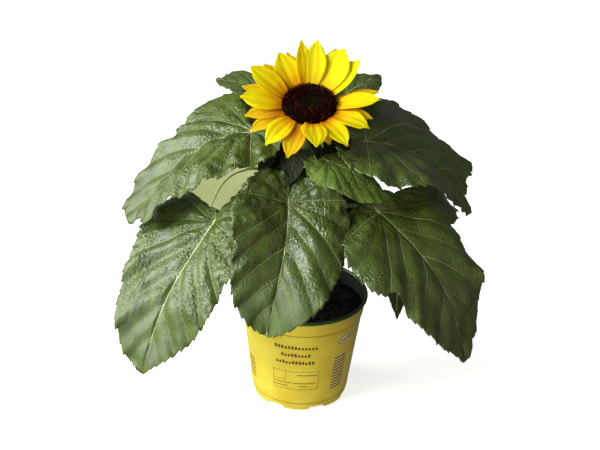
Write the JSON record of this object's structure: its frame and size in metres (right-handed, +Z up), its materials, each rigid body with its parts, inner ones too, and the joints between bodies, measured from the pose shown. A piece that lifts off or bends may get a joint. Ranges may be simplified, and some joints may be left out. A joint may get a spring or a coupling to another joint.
{
  "type": "potted sunflower plant",
  "caption": "Dwarf sunflower in a tapered yellow nursery pot: one stem with drooping heart-shaped leaves under a single open flower with a dark centre.",
  "frame": {"origin": "centre of the pot's flat underside", "axes": "+Z up, -Y towards the front that the flower faces, +X to the right seen from the front"},
  "size_m": [0.3571, 0.3008, 0.3776],
  "materials": {
    "pot_yellow": "thin thermoformed plastic, lemon yellow, satin gloss",
    "lip_green": "dark green plastic lip and lining, half matte",
    "potting_soil": "moist dark peat with brown crumbs",
    "green_stem": "pale green stem with short hairs",
    "leaf": "dark olive green, waxy sheen above, pale and matt below",
    "calyx": "mid green bracts, matt",
    "disc_florets": "dark brown florets, matt",
    "petal": "clear yellow, orange towards the claw, soft satin"
  },
  "bodies": {
    "root": {"pot_shell": "pot_yellow", "pot_lip": "lip_green", "soil": "potting_soil", "stem": "green_stem", "leaf_front": "leaf", "leaf_left_low": "leaf", "leaf_right_low": "leaf", "leaf_right_high": "leaf", "leaf_left_high": "leaf", "leaf_right_small": "leaf", "leaf_back_right_high": "leaf", "leaf_back_left_high": "leaf", "leaf_left_back_low": "leaf", "leaf_right_back_low": "leaf", "leaf_back": "leaf", "leaf_back_small": "leaf", "leaf_back_right": "leaf", "leaf_back_left": "leaf", "leaf_neck_left": "leaf", "leaf_neck_front": "leaf", "leaf_neck_back": "leaf", "leaf_neck_right": "leaf", "leaf_neck_back_right": "leaf", "leaf_neck_back_left": "leaf", "calyx": "calyx", "disc": "disc_florets", "petal_01": "petal", "petal_02": "petal", "petal_03": "petal", "petal_04": "petal", "petal_05": "petal", "petal_06": "petal", "petal_07": "petal", "petal_08": "petal", "petal_09": "petal", "petal_10": "petal", "petal_11": "petal", "petal_12": "petal", "petal_13": "petal", "petal_14": "petal", "petal_15": "petal", "petal_16": "petal", "petal_17": "petal", "petal_18": "petal", "petal_19": "petal", "petal_20": "petal", "petal_21": "petal"}
  },
  "joints": []
}
